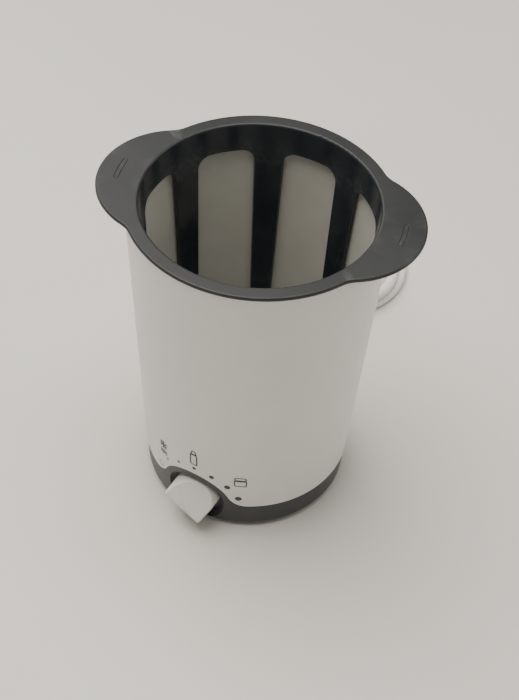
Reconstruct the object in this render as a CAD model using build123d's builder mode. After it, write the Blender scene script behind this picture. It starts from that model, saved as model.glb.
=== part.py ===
from build123d import *
import math
import os

# Electric bottle warmer with a lift-out basket, a rotary dial and a mains cord.
# Millimetres. +Z is up, the origin is the middle of the footprint on the table,
# and the control knob faces -Y.

os.makedirs("parts", exist_ok=True)

# ---------------------------------------------------------------- driving dimensions
HEIGHT = 150.0  # table to the top of the basket rim

# white housing, a cone that widens upward
SHELL_FOOT_R = 44.24  # outer radius where the cone would meet the table
SHELL_SLOPE = 0.0536  # growth of the radius for each millimetre of height
SHELL_WALL = 1.5
SHELL_BOTTOM = 15.7
SHELL_TOP = 148.0
REBATE_DEPTH = 1.4  # step inside the top edge that carries the tub's flange
REBATE_WALL = 0.8

# dial and arch
DIAL_Z = 14.1  # height of the knob axis
ARCH_R = 16.9
ARCH_FILLET = 8.0
ARCH_GAP = 0.15
DISH_R = 13.6
DISH_STEPS = ((DISH_R, 41.9), (13.0, 41.3), (12.4, 40.7), (11.8, 40.0))  # radius, distance from the Z axis
DISH_BACK = 38.0  # distance of the dish's inner face from the Z axis
DISH_RIM = 1.8
DISH_SILL_Z = 2.1  # the dish stops here, above the base's floor

# dark base
BASE_INSET = 0.35  # the base sits this far inside the shell's surface
BASE_WALL = 1.85
BASE_BOTTOM = 1.0
BASE_FLOOR_TOP = 3.0
BASE_EDGE_R = 3.0
SPIGOT_WALL = 1.6
SPIGOT_TOP = 20.0

# feet
FOOT_R = 5.0
FOOT_HEIGHT = 2.2
FOOT_CIRCLE_R = 31.0

# fixing columns under the lugs of the housing
COLUMN_CIRCLE_R = 36.5
COLUMN_R = 3.2
COLUMN_FOOT_R = 4.2
COLUMN_TOP = 22.8
SHIELD_T = 0.6
LUG_BOTTOM = COLUMN_TOP + SHIELD_T
LUG_TOP = 30.0
BASE_SCREW_R = 1.5
BASE_SCREW_SEAT = 6.0

# basket
RIM_R = 53.0
RIM_THICK = 1.7
MOUTH_R = 46.9
EAR_R = 32.0
EAR_OFFSET = 33.4
EAR_ANGLE = 13.1
EAR_FILLET = 11.0
BASKET_SLOPE = 0.055
BASKET_WALL = 1.5
BASKET_FLOOR_Z = 38.0
BASKET_FLOOR_THICK = 2.0
WINDOW_COUNT = 8
WINDOW_WIDTH = 24.3
WINDOW_TOP = 137.2
WINDOW_BOTTOM = 52.0
WINDOW_CORNER_R = 5.5
WINDOW_FIRST_ANGLE = 2.1
EAR_MARK_R = 57.1
EAR_MARK_WIDTH = 2.1
EAR_MARK_HALF_ANGLE = 5.3
EAR_MARK_LINE = 0.35
EAR_MARK_DEPTH = 0.15

# water chamber and heater
TUB_WALL = 1.0
TUB_TOP_R = 48.97  # inner radius at the flange
TUB_FLANGE_Z = 146.6
TUB_FLOOR_Z = 34.0
TUB_FLOOR_THICK = 2.0
TUB_HOLE_R = 33.0
TUB_BOSS_R = 2.6
PLATE_T = 1.2
PLATE_WALL_R = 32.2
PLATE_FLANGE_R = 36.6
SEAL_T = 1.0
BRACKET_SCREW_R = 39.5
BRACKET_SCREW_ANGLES = (22.5, 112.5, 202.5, 292.5)
BRACKET_T = 1.2
PLATE_FLANGE_TOP = TUB_FLOOR_Z - SEAL_T
PLATE_FLANGE_BOTTOM = PLATE_FLANGE_TOP - PLATE_T
PLATE_TOP = 35.6
HEATER_SIZE = (32.0, 20.0, 7.2)
HEATER_TOP = PLATE_TOP - PLATE_T
BRIDGE_WIDTH = 12.0
BRIDGE_LEG_X = 26.0

# control board
BOARD_X = 50.0
BOARD_Y = 40.0
BOARD_Z = 9.0
BOARD_T = 1.6
BOARD_TOP = BOARD_Z + BOARD_T
BOARD_POST_X = 21.0
BOARD_POST_Y = 16.0

# knob and switch, with distances measured from the Z axis towards the front
KNOB_R = 10.9
KNOB_HEEL = 8.8  # the end away from the pointer is cut flat at this distance from the axis
KNOB_HEEL_FILLET = 2.5
KNOB_RIDGE = 1.8  # width of the flat along the top of the wedge
KNOB_SLOPE = 1.1  # each flank spreads this much per millimetre of depth
KNOB_EDGE = 1.0
KNOB_TILT = 28.0  # the ridge's left end stands this many degrees above level
KNOB_ROOT = 40.6
KNOB_TIP = 53.6
SPINDLE_R = 2.0
SPINDLE_END = 49.5
RUNNING_FIT = 0.05
BUSHING_R = 3.0
SWITCH_FRONT = 36.0
SWITCH_BACK = 28.0
SWITCH_WIDTH = 17.0
SWITCH_EAR_X = 12.5

# mains cord
CORD_R = 2.6
CORD_EXIT_Z = 9.0
RELIEF_TIP_Y = 55.0
LEAD_END_Y = 24.0
CLAMP_Y = 29.0
CLAMP_X = 8.5
CLAMP_SEAT_Z = 10.4
COIL_CENTRE = (-21.5, 128.0)
COIL_INNER_R = 20.4
COIL_OUTER_R = 36.2
COIL_BOTTOM = 0.1
COIL_TOP = 10.6
PLUG_X = -70.0
PLUG_Z = 7.0
PLUG_TAIL_Y = 134.0
PLUG_FACE_Y = 184.0
PIN_SPACING = 18.6

CORD_ROUTE = [
    (0.0, RELIEF_TIP_Y, CORD_EXIT_Z),
    (0.0, 69.2, 6.6),
    (-6.5, 82.4, 4.2),
    (-18.0, 91.9, 2.7),
    (-31.3, 96.2, 2.7),
]
TAIL_ROUTE = [
    (-21.5, 94.4, 8.0),
    (-37.5, 94.4, 7.0),
    (-51.5, 98.2, 4.4),
    (-62.5, 107.6, 2.8),
    (-68.6, 120.8, 4.6),
    (-70.0, 134.0, 7.0),
]


# ---------------------------------------------------------------- small helpers
def shell_r(z):
    """Outer radius of the white cone at height z."""
    return SHELL_FOOT_R + SHELL_SLOPE * z


def tub_r(z):
    """Inner radius of the water chamber at height z."""
    return TUB_TOP_R - SHELL_SLOPE * (TUB_FLANGE_Z - z)


def basket_r(z):
    """Inner radius of the basket wall at height z."""
    return MOUTH_R - BASKET_SLOPE * (HEIGHT - z)


def save(piece, name):
    """Labels a finished piece and writes its STEP file."""
    piece.part.label = name
    export_step(piece.part, f"parts/{name}.step")


def turned(points, mode=Mode.ADD, arc=360):
    """Revolves a closed outline of (radius, height) points about the Z axis."""
    with BuildSketch(Plane.XZ) as profile:
        with BuildLine():
            Polyline(*points, close=True)
        make_face()
    revolve(profile.sketch, axis=Axis.Z, revolution_arc=arc, mode=mode)


def front_plane(distance, height=DIAL_Z, tilt=0.0):
    """Plane that faces the front, at a distance from the Z axis."""
    turn = math.radians(tilt)
    return Plane(
        origin=(0, -distance, height),
        x_dir=(math.cos(turn), 0, -math.sin(turn)),
        z_dir=(0, -1, 0),
    )


def rear_plane(y, x=0.0, height=CORD_EXIT_Z):
    """Plane that faces the rear, along the cord's way out."""
    return Plane(origin=(x, y, height), x_dir=(-1, 0, 0), z_dir=(0, 1, 0))


def side_plane(angle_deg):
    """Upright plane through the Z axis that faces outward at an angle."""
    turn = math.radians(angle_deg)
    return Plane(
        origin=(0, 0, 0),
        x_dir=(-math.sin(turn), math.cos(turn), 0),
        z_dir=(math.cos(turn), math.sin(turn), 0),
    )


def post(x, y, radius, bottom, top, mode=Mode.ADD):
    """Round upright post, or a hole of that shape."""
    with Locations((x, y, bottom)):
        Cylinder(radius, top - bottom, align=(Align.CENTER, Align.CENTER, Align.MIN), mode=mode)


def block(centre, size, mode=Mode.ADD):
    """Upright box on the middle of its lower face."""
    with Locations(centre):
        Box(*size, align=(Align.CENTER, Align.CENTER, Align.MIN), mode=mode)


def four_corners(x, y):
    """The four places at plus and minus x and y."""
    return [(sx * x, sy * y) for sx in (-1, 1) for sy in (-1, 1)]


def on_circle(radius, angles):
    """XY places on a circle about the Z axis."""
    return [(radius * math.cos(math.radians(a)), radius * math.sin(math.radians(a))) for a in angles]


def pan_screw(x, y, seat, shank_r, head_r, head_height, length, facing_up=True):
    """Upright screw whose head sits on the seat height, with its shank away from the head."""
    if facing_up:
        post(x, y, head_r, seat, seat + head_height)
        post(x, y, shank_r, seat - length, seat)
    else:
        post(x, y, head_r, seat - head_height, seat)
        post(x, y, shank_r, seat, seat + length)


def arch_outline(inset):
    """Arch over the dial together with everything below the shell's lower edge, on XZ."""
    edge_z = SHELL_BOTTOM - inset
    with BuildSketch(Plane.XZ) as outline:
        with Locations((0, DIAL_Z)):
            Circle(ARCH_R - inset)
        with Locations((0, edge_z - 30)):
            Rectangle(90, 60)
        corners = outline.vertices().filter_by(lambda v: 5 < abs(v.X) < 30 and v.Y > edge_z - 1)
        fillet(corners, radius=ARCH_FILLET + inset)
    return outline.sketch


def turn_radii(route):
    """Arc radii along a cord's route: 0.45 of the shorter run over the tangent of half the turn."""
    points = [Vector(*p) for p in route]
    radii = []
    for before, corner, after in zip(points, points[1:], points[2:]):
        run_in = corner - before
        run_out = after - corner
        half_turn = math.radians(run_in.get_angle(run_out)) / 2
        radii.append(0.45 * min(run_in.length, run_out.length) / math.tan(half_turn))
    return radii


def wire(points, radius, bend):
    """Insulated wire swept along straight runs with round bends."""
    with BuildLine() as route:
        FilletPolyline(*points, radius=bend)
    with BuildSketch(Plane(origin=route.line @ 0, z_dir=route.line % 0)) as section:
        Circle(radius)
    sweep(section.sketch, path=route.line)


# ---------------------------------------------------------------- white housing
def build_housing_shell():
    """Tapered outer shell with the arch cut out and four fixing lugs inside."""
    rebate_z = SHELL_TOP - REBATE_DEPTH
    with BuildPart() as housing_shell:
        turned([
            (shell_r(SHELL_BOTTOM), SHELL_BOTTOM),
            (shell_r(SHELL_TOP), SHELL_TOP),
            (shell_r(SHELL_TOP) - REBATE_WALL, SHELL_TOP),
            (shell_r(rebate_z) - REBATE_WALL, rebate_z),
            (shell_r(rebate_z) - SHELL_WALL, rebate_z),
            (shell_r(SHELL_BOTTOM) - SHELL_WALL, SHELL_BOTTOM),
        ])
        extrude(arch_outline(0.0), amount=70, mode=Mode.SUBTRACT)
        with BuildSketch(Plane.XY.offset(LUG_BOTTOM)) as lugs:
            with PolarLocations(COLUMN_CIRCLE_R, 4, start_angle=45):
                Circle(3.6)
            with PolarLocations(COLUMN_CIRCLE_R + 4.0, 4, start_angle=45):
                Rectangle(8.0, 5.0)
        extrude(lugs.sketch, amount=LUG_TOP - LUG_BOTTOM)
        for x, y in on_circle(COLUMN_CIRCLE_R, (45, 135, 225, 315)):
            post(x, y, BASE_SCREW_R, LUG_BOTTOM, LUG_TOP - 1.0, Mode.SUBTRACT)
    save(housing_shell, "housing_shell")


# ---------------------------------------------------------------- dark base
def dial_boss():
    """Round block behind the dial, trimmed to the base's outer surface."""
    with BuildPart() as boss:
        with BuildSketch(front_plane(DISH_BACK)) as disc:
            Circle(DISH_R + DISH_RIM)
        extrude(disc.sketch, amount=10)
        turned([
            (0, BASE_BOTTOM),
            (shell_r(BASE_BOTTOM) - BASE_INSET, BASE_BOTTOM),
            (shell_r(40) - BASE_INSET, 40),
            (0, 40),
        ], Mode.INTERSECT)
    return boss.part


def rounded_envelope():
    """Everything inside the base's outer surface, with its rounded lower edge."""
    foot_r = shell_r(BASE_BOTTOM) - BASE_INSET
    with BuildPart() as envelope:
        with BuildSketch(Plane.XZ) as profile:
            with BuildLine():
                Line((0, BASE_BOTTOM), (foot_r - BASE_EDGE_R, BASE_BOTTOM))
                TangentArc(
                    (foot_r - BASE_EDGE_R, BASE_BOTTOM),
                    (foot_r + SHELL_SLOPE * BASE_EDGE_R, BASE_BOTTOM + BASE_EDGE_R),
                    tangent=(1, 0),
                )
                Polyline(
                    (foot_r + SHELL_SLOPE * BASE_EDGE_R, BASE_BOTTOM + BASE_EDGE_R),
                    (shell_r(40) - BASE_INSET, 40),
                    (0, 40),
                    (0, BASE_BOTTOM),
                )
            make_face()
        revolve(profile.sketch, axis=Axis.Z)
    return envelope.part


def build_base_cover():
    """Cup-shaped base with the arched patch, the dial dish and the mounting posts."""
    inner = BASE_INSET + BASE_WALL
    patch_top = DIAL_Z + ARCH_R + 3
    edge_z = SHELL_BOTTOM - ARCH_GAP
    spigot = SHELL_WALL + 0.15
    boss = dial_boss()
    envelope = rounded_envelope()
    with BuildPart() as base_cover:
        turned([
            (shell_r(BASE_BOTTOM) - BASE_INSET, BASE_BOTTOM),
            (shell_r(patch_top) - BASE_INSET, patch_top),
            (shell_r(patch_top) - inner, patch_top),
            (shell_r(BASE_BOTTOM) - inner, BASE_BOTTOM),
        ])
        extrude(arch_outline(ARCH_GAP), amount=70, mode=Mode.INTERSECT)
        turned([
            (0, BASE_BOTTOM),
            (shell_r(BASE_BOTTOM) - BASE_INSET, BASE_BOTTOM),
            (shell_r(edge_z) - BASE_INSET, edge_z),
            (shell_r(edge_z) - inner, edge_z),
            (shell_r(BASE_FLOOR_TOP) - inner, BASE_FLOOR_TOP),
            (0, BASE_FLOOR_TOP),
        ])
        turned([
            (shell_r(edge_z) - spigot - SPIGOT_WALL, edge_z - 3),
            (shell_r(edge_z) - spigot, edge_z - 3),
            (shell_r(SPIGOT_TOP) - spigot, SPIGOT_TOP),
            (shell_r(SPIGOT_TOP) - spigot - SPIGOT_WALL, SPIGOT_TOP),
        ])
        add(boss)
        for radius, depth in DISH_STEPS:
            with BuildSketch(front_plane(depth)) as dish:
                Circle(radius)
                with Locations((0, DISH_SILL_Z - DIAL_Z - 20)):
                    Rectangle(60, 40, mode=Mode.SUBTRACT)
            extrude(dish.sketch, amount=10, mode=Mode.SUBTRACT)
        with BuildSketch(front_plane(DISH_BACK - 1)) as spindle_hole:
            Circle(BUSHING_R + 0.1)
        extrude(spindle_hole.sketch, amount=10, mode=Mode.SUBTRACT)
        with BuildSketch(front_plane(SWITCH_FRONT)) as switch_posts:
            with GridLocations(2 * SWITCH_EAR_X, 1, 2, 1):
                Circle(2.2)
        extrude(switch_posts.sketch, amount=DISH_BACK - SWITCH_FRONT + 0.5)
        with BuildSketch(front_plane(SWITCH_FRONT)) as switch_pilots:
            with GridLocations(2 * SWITCH_EAR_X, 1, 2, 1):
                Circle(0.9)
        extrude(switch_pilots.sketch, amount=3.0, mode=Mode.SUBTRACT)
        for x, y in on_circle(COLUMN_CIRCLE_R, (45, 135, 225, 315)):
            post(x, y, COLUMN_FOOT_R, BASE_FLOOR_TOP - 0.5, BASE_SCREW_SEAT + 2)
            post(x, y, COLUMN_R, BASE_SCREW_SEAT, COLUMN_TOP)
            post(x, y, BASE_SCREW_R + 0.2, BASE_BOTTOM, COLUMN_TOP, Mode.SUBTRACT)
            post(x, y, 3.0, BASE_BOTTOM, BASE_SCREW_SEAT, Mode.SUBTRACT)
        for x, y in four_corners(BOARD_POST_X, BOARD_POST_Y):
            post(x, y, 2.5, BASE_FLOOR_TOP - 0.5, BOARD_Z)
            post(x, y, 1.0, BOARD_Z - 5, BOARD_Z, Mode.SUBTRACT)
        for side in (-1, 1):
            post(side * CLAMP_X, CLAMP_Y, 2.6, BASE_FLOOR_TOP - 0.5, CLAMP_SEAT_Z)
            post(side * CLAMP_X, CLAMP_Y, 1.1, BASE_FLOOR_TOP + 1, CLAMP_SEAT_Z, Mode.SUBTRACT)
        block((0, CLAMP_Y, BASE_FLOOR_TOP - 0.5), (4.6, 4.0, 4.6))
        with BuildSketch(rear_plane(CLAMP_Y - 4)) as saddle:
            Circle(CORD_R)
        extrude(saddle.sketch, amount=8, mode=Mode.SUBTRACT)
        with BuildSketch(rear_plane(RELIEF_TIP_Y - 18)) as relief_hole:
            Circle(4.4)
        extrude(relief_hole.sketch, amount=12, mode=Mode.SUBTRACT)
        for x, y in on_circle(FOOT_CIRCLE_R, (0, 90, 180, 270)):
            post(x, y, FOOT_R, BASE_BOTTOM, FOOT_HEIGHT, Mode.SUBTRACT)
        add(envelope, mode=Mode.INTERSECT)
    save(base_cover, "base_cover")


def build_rubber_feet():
    """Four round pads that stand out of pockets under the base."""
    with BuildPart() as rubber_feet:
        for x, y in on_circle(FOOT_CIRCLE_R, (0, 90, 180, 270)):
            post(x, y, FOOT_R, 0, FOOT_HEIGHT)
        soles = rubber_feet.edges().filter_by(GeomType.CIRCLE).group_by(Axis.Z)[0]
        fillet(soles, radius=0.4)
    save(rubber_feet, "rubber_feet")


def build_base_screws():
    """Four long screws that go up through the columns into the housing's lugs."""
    with BuildPart() as base_screws:
        for x, y in on_circle(COLUMN_CIRCLE_R, (45, 135, 225, 315)):
            pan_screw(x, y, BASE_SCREW_SEAT, BASE_SCREW_R, 2.8, 2.0, 22.5, facing_up=False)
    save(base_screws, "base_screws")


# ---------------------------------------------------------------- water chamber and heater
def build_chamber_tub():
    """Thin-walled water chamber that hangs in the housing's rebate."""
    flange_top = SHELL_TOP - 0.1
    flange_r = shell_r(TUB_FLANGE_Z) - REBATE_WALL - 0.1
    floor_top = TUB_FLOOR_Z + TUB_FLOOR_THICK
    with BuildPart() as chamber_tub:
        turned([
            (TUB_HOLE_R, TUB_FLOOR_Z),
            (tub_r(TUB_FLOOR_Z) + TUB_WALL, TUB_FLOOR_Z),
            (TUB_TOP_R + TUB_WALL, TUB_FLANGE_Z),
            (flange_r, TUB_FLANGE_Z),
            (flange_r, flange_top),
            (TUB_TOP_R, flange_top),
            (TUB_TOP_R, TUB_FLANGE_Z),
            (tub_r(floor_top), floor_top),
            (TUB_HOLE_R, floor_top),
        ])
        for x, y in on_circle(BRACKET_SCREW_R, BRACKET_SCREW_ANGLES):
            post(x, y, TUB_BOSS_R, PLATE_FLANGE_BOTTOM, TUB_FLOOR_Z + 0.5)
            post(x, y, 1.2, PLATE_FLANGE_BOTTOM, TUB_FLOOR_Z + 1.2, Mode.SUBTRACT)
    save(chamber_tub, "chamber_tub")


def build_heater_plate():
    """Pressed metal plate that closes the hole in the chamber's floor."""
    inner_r = PLATE_WALL_R - PLATE_T
    with BuildPart() as heater_plate:
        turned([
            (inner_r, PLATE_FLANGE_BOTTOM),
            (PLATE_FLANGE_R, PLATE_FLANGE_BOTTOM),
            (PLATE_FLANGE_R, PLATE_FLANGE_TOP),
            (PLATE_WALL_R, PLATE_FLANGE_TOP),
            (PLATE_WALL_R, PLATE_TOP),
            (0, PLATE_TOP),
            (0, HEATER_TOP),
            (inner_r, HEATER_TOP),
        ])
    save(heater_plate, "heater_plate")


def build_plate_seal():
    """Silicone ring between the plate's flange and the chamber's floor."""
    with BuildPart() as plate_seal:
        turned([
            (TUB_HOLE_R + 0.4, PLATE_FLANGE_TOP),
            (PLATE_FLANGE_R - 0.4, PLATE_FLANGE_TOP),
            (PLATE_FLANGE_R - 0.4, TUB_FLOOR_Z),
            (TUB_HOLE_R + 0.4, TUB_FLOOR_Z),
        ])
    save(plate_seal, "plate_seal")


def build_heater_bracket():
    """Sheet metal ring with a bridge that presses the heater against the plate."""
    ring_bottom = PLATE_FLANGE_BOTTOM - BRACKET_T
    bridge_bottom = HEATER_TOP - HEATER_SIZE[2] - BRACKET_T
    with BuildPart() as heater_bracket:
        turned([
            (PLATE_WALL_R - 0.7, ring_bottom),
            (42.0, ring_bottom),
            (42.0, PLATE_FLANGE_BOTTOM),
            (PLATE_WALL_R - 0.7, PLATE_FLANGE_BOTTOM),
        ])
        block((0, 0, bridge_bottom), (2 * BRIDGE_LEG_X, BRIDGE_WIDTH, BRACKET_T))
        for side in (-1, 1):
            leg_x = side * (BRIDGE_LEG_X - BRACKET_T / 2)
            block((leg_x, 0, bridge_bottom), (BRACKET_T, BRIDGE_WIDTH, PLATE_FLANGE_BOTTOM - bridge_bottom))
            block((side * 29.0, 0, ring_bottom), (8.4, BRIDGE_WIDTH, BRACKET_T))
        for x, y in on_circle(BRACKET_SCREW_R, BRACKET_SCREW_ANGLES):
            post(x, y, 1.4, ring_bottom, PLATE_FLANGE_BOTTOM, Mode.SUBTRACT)
    save(heater_bracket, "heater_bracket")


def build_bracket_screws():
    """Four screws that hold the bracket ring to the chamber's bosses."""
    seat = PLATE_FLANGE_BOTTOM - BRACKET_T
    with BuildPart() as bracket_screws:
        for x, y in on_circle(BRACKET_SCREW_R, BRACKET_SCREW_ANGLES):
            pan_screw(x, y, seat, 1.2, 2.3, 1.5, TUB_FLOOR_Z + 1.0 - seat, facing_up=False)
    save(bracket_screws, "bracket_screws")


def build_ptc_heater():
    """Flat ceramic heater in its metal case, under the middle of the plate."""
    length, width, height = HEATER_SIZE
    with BuildPart() as ptc_heater:
        block((0, 0, HEATER_TOP - height), (length, width, height))
        fillet(ptc_heater.edges().filter_by(Axis.X), radius=1.2)
    save(ptc_heater, "ptc_heater")


def build_thermal_fuse():
    """Round thermal fuse lying against the underside of the plate."""
    with BuildPart() as thermal_fuse:
        with BuildSketch(Plane.YZ.offset(-11)) as section:
            with Locations((17, HEATER_TOP - 2.0)):
                Circle(2.0)
        extrude(section.sketch, amount=22)
    save(thermal_fuse, "thermal_fuse")


def build_temperature_sensor():
    """Small metal cup with the temperature sensor, pressed to the plate."""
    with BuildPart() as temperature_sensor:
        post(0, -17, 2.5, HEATER_TOP - 3.4, HEATER_TOP)
    save(temperature_sensor, "temperature_sensor")


def build_heat_shield():
    """Thin shield between the heater and the board, clamped on the four columns."""
    with BuildPart() as heat_shield:
        with BuildSketch(Plane.XY.offset(COLUMN_TOP)) as outline:
            Circle(31.0)
            with PolarLocations(COLUMN_CIRCLE_R - 2.5, 4, start_angle=45):
                Rectangle(12.0, 7.5)
            with PolarLocations(COLUMN_CIRCLE_R, 4, start_angle=45):
                Circle(BASE_SCREW_R + 0.2, mode=Mode.SUBTRACT)
            with Locations((22, 8), (22, -8), (0, -17)):
                Circle(2.2, mode=Mode.SUBTRACT)
        extrude(outline.sketch, amount=SHIELD_T)
    save(heat_shield, "heat_shield")


# ---------------------------------------------------------------- control board
def build_control_board():
    """Printed circuit board on four posts."""
    with BuildPart() as control_board:
        block((0, 0, BOARD_Z), (BOARD_X, BOARD_Y, BOARD_T))
        fillet(control_board.edges().filter_by(Axis.Z), radius=2.0)
        for x, y in four_corners(BOARD_POST_X, BOARD_POST_Y):
            post(x, y, 1.3, BOARD_Z, BOARD_TOP, Mode.SUBTRACT)
    save(control_board, "control_board")


def build_board_screws():
    """Four small screws that hold the board."""
    with BuildPart() as board_screws:
        for x, y in four_corners(BOARD_POST_X, BOARD_POST_Y):
            pan_screw(x, y, BOARD_TOP, 1.0, 2.2, 1.6, 6.0)
    save(board_screws, "board_screws")


def build_board_parts():
    """The taller components on the board, each its own piece."""
    with BuildPart() as power_relay:
        block((8, -8, BOARD_TOP), (19.0, 15.5, 11.5))
        fillet(power_relay.edges().filter_by(Axis.Z), radius=0.6)
    save(power_relay, "power_relay")
    with BuildPart() as film_capacitor:
        block((11, 11, BOARD_TOP), (13.0, 5.0, 11.0))
        fillet(film_capacitor.edges().filter_by(Axis.Z), radius=0.6)
    save(film_capacitor, "film_capacitor")
    with BuildPart() as smoothing_capacitor:
        post(-12, -8, 4.0, BOARD_TOP, BOARD_TOP + 10.5)
        fillet(smoothing_capacitor.edges().group_by(Axis.Z)[-1], radius=0.5)
    save(smoothing_capacitor, "smoothing_capacitor")
    with BuildPart() as terminal_block:
        block((-8, 13, BOARD_TOP), (16.0, 9.0, 10.0))
        for x in (-12, -8, -4):
            post(x, 13, 1.5, BOARD_TOP + 6.0, BOARD_TOP + 10.0, Mode.SUBTRACT)
    save(terminal_block, "terminal_block")


# ---------------------------------------------------------------- dial
def build_rotary_switch():
    """Rotary switch behind the dish, with its bushing and mounting ears."""
    bore_r = SPINDLE_R + RUNNING_FIT
    with BuildPart() as rotary_switch:
        with BuildSketch(front_plane(SWITCH_BACK)) as case:
            RectangleRounded(SWITCH_WIDTH, SWITCH_WIDTH, 1.5)
        extrude(case.sketch, amount=SWITCH_FRONT - SWITCH_BACK)
        with BuildSketch(front_plane(SWITCH_FRONT - 1.4)) as ears:
            RectangleRounded(31.0, 8.0, 2.0)
        extrude(ears.sketch, amount=1.4)
        with BuildSketch(front_plane(SWITCH_FRONT)) as bushing:
            Circle(BUSHING_R)
        extrude(bushing.sketch, amount=3.8)
        with BuildSketch(front_plane(SWITCH_BACK + 1.5)) as bore:
            Circle(bore_r)
        extrude(bore.sketch, amount=20, mode=Mode.SUBTRACT)
        with BuildSketch(front_plane(SWITCH_FRONT - 2)) as screw_holes:
            with GridLocations(2 * SWITCH_EAR_X, 1, 2, 1):
                Circle(1.1)
        extrude(screw_holes.sketch, amount=4, mode=Mode.SUBTRACT)
    save(rotary_switch, "rotary_switch")


def build_switch_screws():
    """Two screws that hold the switch's ears to the posts behind the dish."""
    seat = SWITCH_FRONT - 1.4
    with BuildPart() as switch_screws:
        with BuildSketch(front_plane(seat - 1.5)) as heads:
            with GridLocations(2 * SWITCH_EAR_X, 1, 2, 1):
                Circle(1.9)
        extrude(heads.sketch, amount=1.5)
        with BuildSketch(front_plane(seat)) as shanks:
            with GridLocations(2 * SWITCH_EAR_X, 1, 2, 1):
                Circle(0.9)
        extrude(shanks.sketch, amount=4.0)
    save(switch_screws, "switch_screws")


def build_knob_spindle():
    """Steel spindle from the switch into the knob."""
    with BuildPart() as knob_spindle:
        with BuildSketch(front_plane(SWITCH_BACK + 2.0)) as section:
            Circle(SPINDLE_R)
        extrude(section.sketch, amount=SPINDLE_END - SWITCH_BACK - 2.0)
    save(knob_spindle, "knob_spindle")


def build_control_knob():
    """Round knob cut to a wedge whose ridge points at the setting, turned next to the off mark."""
    turn = math.radians(KNOB_TILT)
    along_ridge = Plane(
        origin=(0, 0, DIAL_Z),
        x_dir=(math.sin(turn), 0, math.cos(turn)),
        z_dir=(math.cos(turn), 0, -math.sin(turn)),
    )
    reach = KNOB_R + 1
    ridge = KNOB_RIDGE / 2
    shoulder = KNOB_TIP - (reach - ridge) / KNOB_SLOPE
    with BuildPart() as control_knob:
        with BuildSketch(front_plane(KNOB_ROOT, tilt=KNOB_TILT)) as plan:
            Circle(KNOB_R)
            with Locations((KNOB_HEEL + KNOB_R, 0)):
                Rectangle(2 * KNOB_R, 2 * KNOB_R, mode=Mode.SUBTRACT)
            fillet(plan.vertices(), radius=KNOB_HEEL_FILLET)
        extrude(plan.sketch, amount=KNOB_TIP - KNOB_ROOT)
        with BuildSketch(along_ridge) as gable:
            with BuildLine():
                Polyline(
                    (-reach, KNOB_ROOT - 1),
                    (-reach, shoulder),
                    (-ridge, KNOB_TIP),
                    (ridge, KNOB_TIP),
                    (reach, shoulder),
                    (reach, KNOB_ROOT - 1),
                    close=True,
                )
            make_face()
        extrude(gable.sketch, amount=reach, both=True, mode=Mode.INTERSECT)
        edges = control_knob.edges().filter_by(lambda e: e.center().Y < -(KNOB_ROOT + 0.1))
        fillet(edges, radius=KNOB_EDGE)
        with BuildSketch(front_plane(KNOB_ROOT)) as socket:
            Circle(SPINDLE_R)
        extrude(socket.sketch, amount=SPINDLE_END - KNOB_ROOT, mode=Mode.SUBTRACT)
    save(control_knob, "control_knob")


# ---------------------------------------------------------------- basket
def basket_rim_outline():
    """Rim disc with two ears and soft inner corners."""
    with BuildSketch(Plane.XY.offset(HEIGHT - RIM_THICK)) as outline:
        Circle(RIM_R)
        with PolarLocations(EAR_OFFSET, 2, start_angle=EAR_ANGLE):
            Circle(EAR_R)
        corners = outline.vertices().filter_by(lambda v: abs(math.hypot(v.X, v.Y) - RIM_R) < 0.05)
        fillet(corners, radius=EAR_FILLET)
    return outline.sketch


def ear_mark_outline():
    """Engraved outline of a short curved capsule on each ear."""
    with BuildSketch(Plane.XY.offset(HEIGHT)) as marks:
        for middle in (EAR_ANGLE, EAR_ANGLE + 180):
            start = middle - EAR_MARK_HALF_ANGLE
            with BuildLine(mode=Mode.PRIVATE) as track:
                CenterArc((0, 0), EAR_MARK_R, start, 2 * EAR_MARK_HALF_ANGLE)
            arc = track.edges()[0]
            SlotArc(arc, EAR_MARK_WIDTH)
            SlotArc(arc, EAR_MARK_WIDTH - 2 * EAR_MARK_LINE, mode=Mode.SUBTRACT)
    return marks.sketch


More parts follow.
